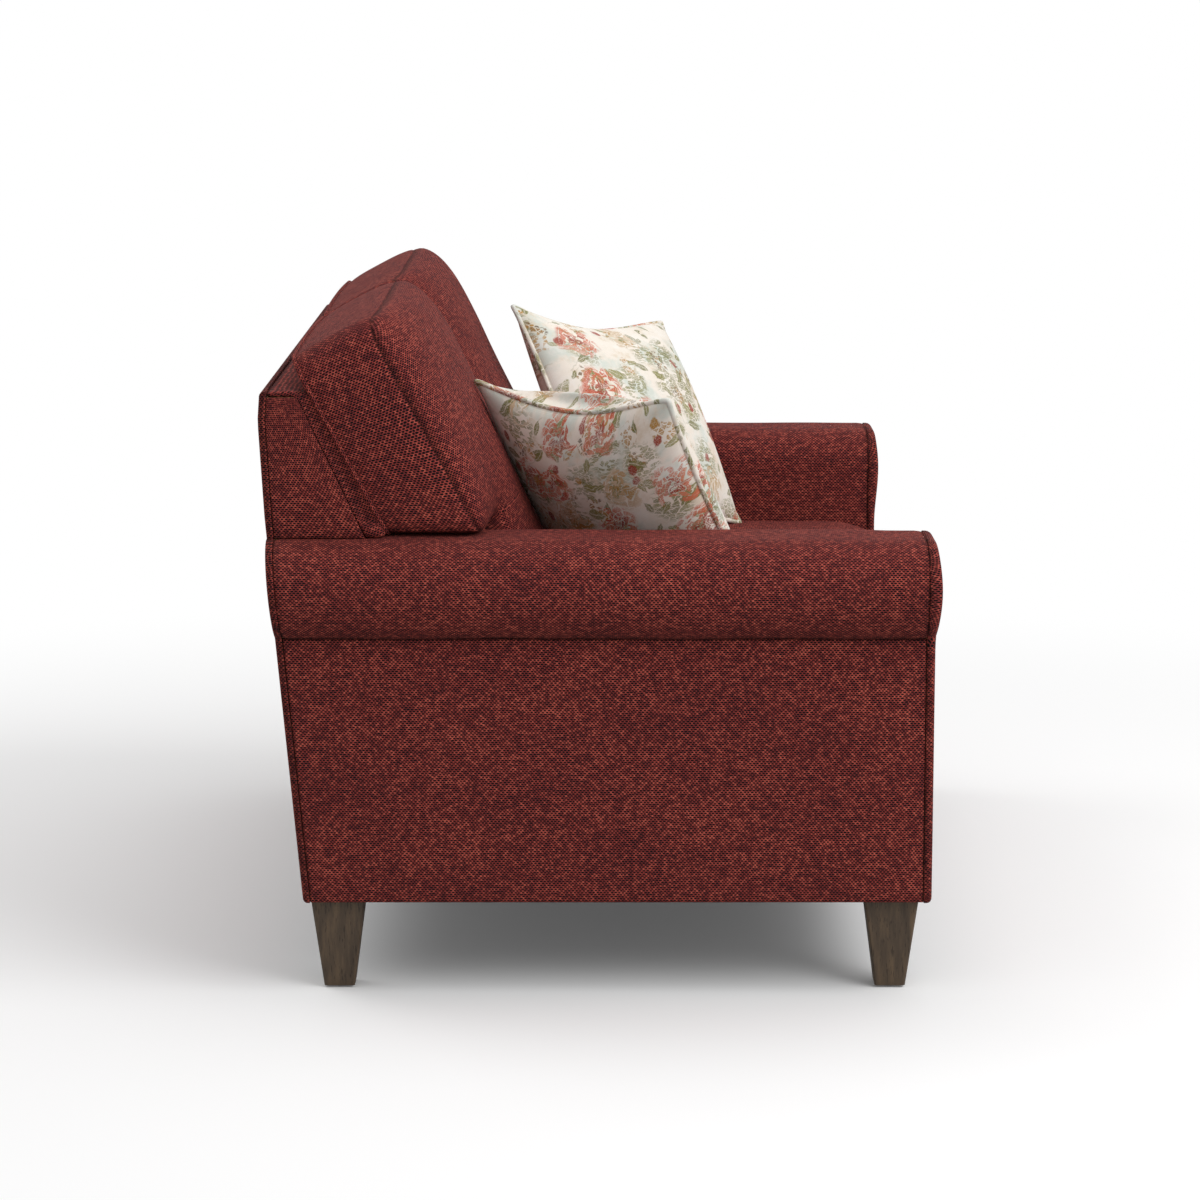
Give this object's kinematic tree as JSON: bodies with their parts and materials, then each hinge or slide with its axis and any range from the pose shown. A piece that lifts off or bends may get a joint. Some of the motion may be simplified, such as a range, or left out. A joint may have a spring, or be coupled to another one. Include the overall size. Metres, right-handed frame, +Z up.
{
  "type": "rolled arm sofa",
  "caption": "Rolled arm sofa in woven fabric with padded arm facings, boxed seat cushions, winged back cushions, throw pillows and square tapered wood legs.",
  "frame": {"origin": "on the floor under the middle of the sofa's outer box", "axes": "+X along the length; -Y to the front of the seat, +Y to the outside back; +Z up"},
  "size_m": [1.4798, 0.973, 0.978],
  "materials": {
    "woven_red": "coarse weave of red, orange and near-black yarns",
    "floral_print": "printed linen, cream ground with scattered flowers and leaves",
    "leg_wood": "grey-brown stain, satin",
    "frame_wood": "bare hardwood and plywood",
    "spring_steel": "drawn wire and zinc-plated bolts",
    "glide_plastic": "black moulded plastic",
    "lining": "thin black dust cloth",
    "padding": "undyed felt",
    "strapping": "woven elastic webbing"
  },
  "bodies": {
    "sofa_frame": {"front_rail": "frame_wood", "rear_rail": "frame_wood", "side_rail_left": "frame_wood", "side_rail_right": "frame_wood", "rear_seat_rail": "frame_wood", "center_brace": "frame_wood", "corner_block_front_left": "frame_wood", "corner_block_front_right": "frame_wood", "corner_block_rear_left": "frame_wood", "corner_block_rear_right": "frame_wood", "leg_front_left": "leg_wood", "leg_front_right": "leg_wood", "leg_rear_left": "leg_wood", "leg_rear_right": "leg_wood", "leg_bolt_front_left": "spring_steel", "leg_bolt_front_right": "spring_steel", "leg_bolt_rear_left": "spring_steel", "leg_bolt_rear_right": "spring_steel", "glide_front_left": "glide_plastic", "glide_front_right": "glide_plastic", "glide_rear_left": "glide_plastic", "glide_rear_right": "glide_plastic", "arm_front_board_left": "frame_wood", "arm_front_board_right": "frame_wood", "arm_rear_board_left": "frame_wood", "arm_rear_board_right": "frame_wood", "arm_top_rail_left": "frame_wood", "arm_top_rail_right": "frame_wood", "arm_roll_rail_left": "frame_wood", "arm_roll_rail_right": "frame_wood", "back_post_left": "frame_wood", "back_post_right": "frame_wood", "back_top_rail": "frame_wood", "back_lower_rail": "frame_wood", "back_center_post": "frame_wood", "back_webbing": "strapping", "seat_springs_left": "spring_steel", "seat_springs_right": "spring_steel", "deck_pad": "padding", "dust_cover": "lining", "front_border": "woven_red", "arm_cover_left": "woven_red", "arm_cover_right": "woven_red", "arm_facing_left": "woven_red", "arm_facing_right": "woven_red", "outside_arm_left": "woven_red", "outside_arm_right": "woven_red", "outside_back": "woven_red", "inside_back": "woven_red", "back_side_panel_left": "woven_red", "back_side_panel_right": "woven_red"},
    "seat_cushion_left": {"seat_cushion_left": "woven_red"},
    "seat_cushion_right": {"seat_cushion_right": "woven_red"},
    "back_cushion_left": {"back_cushion_left": "woven_red"},
    "back_cushion_right": {"back_cushion_right": "woven_red"},
    "pillow_left": {"pillow_left": "floral_print"},
    "pillow_right": {"pillow_right": "floral_print"}
  },
  "joints": [
    {"name": "seat_cushion_left_pull", "type": "slide", "parent": "sofa_frame", "child": "seat_cushion_left", "axis": [0, -1, 0], "range_m": [0, 0.25]},
    {"name": "seat_cushion_right_pull", "type": "slide", "parent": "sofa_frame", "child": "seat_cushion_right", "axis": [0, -1, 0], "range_m": [0, 0.25]},
    {"name": "back_cushion_left_lift", "type": "slide", "parent": "sofa_frame", "child": "back_cushion_left", "axis": [0, 0.4695, 0.8829], "range_m": [0, 0.2]},
    {"name": "back_cushion_right_lift", "type": "slide", "parent": "sofa_frame", "child": "back_cushion_right", "axis": [0, 0.4695, 0.8829], "range_m": [0, 0.2]},
    {"name": "pillow_left_lift", "type": "slide", "parent": "back_cushion_left", "child": "pillow_left", "axis": [0, 0, 1], "range_m": [0, 0.25]},
    {"name": "pillow_right_lift", "type": "slide", "parent": "back_cushion_right", "child": "pillow_right", "axis": [0, 0, 1], "range_m": [0, 0.25]}
  ]
}
